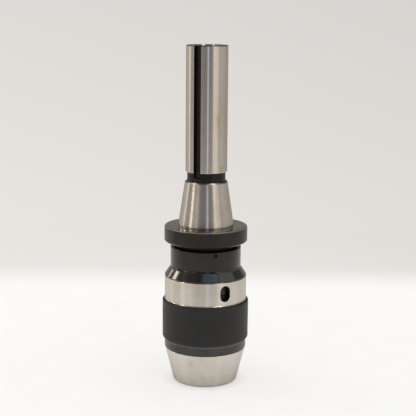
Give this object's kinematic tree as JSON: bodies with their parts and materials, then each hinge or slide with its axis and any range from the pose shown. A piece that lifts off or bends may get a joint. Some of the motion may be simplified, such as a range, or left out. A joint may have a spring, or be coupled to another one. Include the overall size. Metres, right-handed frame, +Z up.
{
  "type": "keyless drill chuck",
  "caption": "Self-tightening keyless drill chuck with an integral R8 taper shank, black flange and neck, bright steel band, matte grip ring and conical steel nose with sliding jaws.",
  "frame": {"origin": "centre of the flat nose face, on which the chuck stands", "axes": "+Z up along the spindle axis from the nose towards the drawbar end, -Y through the middle of the shank keyway"},
  "size_m": [0.0506, 0.0506, 0.1972],
  "materials": {
    "ground_steel": "ground bright steel",
    "hardened_steel": "hardened and ground steel",
    "black_oxide": "polished black oxide on steel",
    "dark_satin_steel": "satin blackened steel",
    "matte_black_grip": "matte black phosphate on steel",
    "dark_screw": "blackened steel",
    "seal_rubber": "matt black rubber",
    "cage_steel": "blackened pressed steel"
  },
  "bodies": {
    "arbor": {"shank_body": "ground_steel", "flange_collar": "black_oxide", "dust_seal": "seal_rubber", "bearing_race_lower": "hardened_steel"},
    "sleeve": {"rear_cap": "black_oxide", "cap_lock_screw": "dark_screw", "sleeve_band": "ground_steel", "grip_ring": "matte_black_grip", "retaining_ring": "dark_satin_steel", "nose_cone": "ground_steel", "bearing_race_upper": "hardened_steel"},
    "ball_train": {"ball_cage": "cage_steel", "bearing_ball_01": "hardened_steel", "bearing_ball_02": "hardened_steel", "bearing_ball_03": "hardened_steel", "bearing_ball_04": "hardened_steel", "bearing_ball_05": "hardened_steel", "bearing_ball_06": "hardened_steel", "bearing_ball_07": "hardened_steel", "bearing_ball_08": "hardened_steel", "bearing_ball_09": "hardened_steel", "bearing_ball_10": "hardened_steel", "bearing_ball_11": "hardened_steel", "bearing_ball_12": "hardened_steel", "bearing_ball_13": "hardened_steel", "bearing_ball_14": "hardened_steel", "bearing_ball_15": "hardened_steel", "bearing_ball_16": "hardened_steel"},
    "carrier": {"jaw_carrier_screw": "hardened_steel"},
    "jaw_a": {"jaw_1": "hardened_steel"},
    "jaw_b": {"jaw_2": "hardened_steel"},
    "jaw_c": {"jaw_3": "hardened_steel"}
  },
  "joints": [
    {"name": "sleeve_spin", "type": "hinge", "parent": "arbor", "child": "sleeve", "pos_m": [0, 0, 0.03], "axis": [0, 0, 1], "range_deg": [0, 2150]},
    {"name": "ball_train_roll", "type": "hinge", "parent": "arbor", "child": "ball_train", "pos_m": [0, 0, 0.05975], "axis": [0, 0, 1], "range_deg": [0, 1075]},
    {"name": "carrier_feed", "type": "slide", "parent": "sleeve", "child": "carrier", "axis": [0, 0, -1], "range_m": [0, 0.0239]},
    {"name": "jaw_a_slide", "type": "slide", "parent": "sleeve", "child": "jaw_a", "axis": [0, -0.2436, -0.9699], "range_m": [0, 0.02464]},
    {"name": "jaw_b_slide", "type": "slide", "parent": "sleeve", "child": "jaw_b", "axis": [0.211, 0.1218, -0.9699], "range_m": [0, 0.02464]},
    {"name": "jaw_c_slide", "type": "slide", "parent": "sleeve", "child": "jaw_c", "axis": [-0.211, 0.1218, -0.9699], "range_m": [0, 0.02464]}
  ],
  "couplings": [
    {"joint": "ball_train_roll", "follows": "sleeve_spin", "ratio": 0.5},
    {"joint": "carrier_feed", "follows": "sleeve_spin", "m_per_rad": 0.00063662},
    {"joint": "jaw_a_slide", "follows": "sleeve_spin", "m_per_rad": 0.0006564},
    {"joint": "jaw_b_slide", "follows": "sleeve_spin", "m_per_rad": 0.0006564},
    {"joint": "jaw_c_slide", "follows": "sleeve_spin", "m_per_rad": 0.0006564}
  ]
}
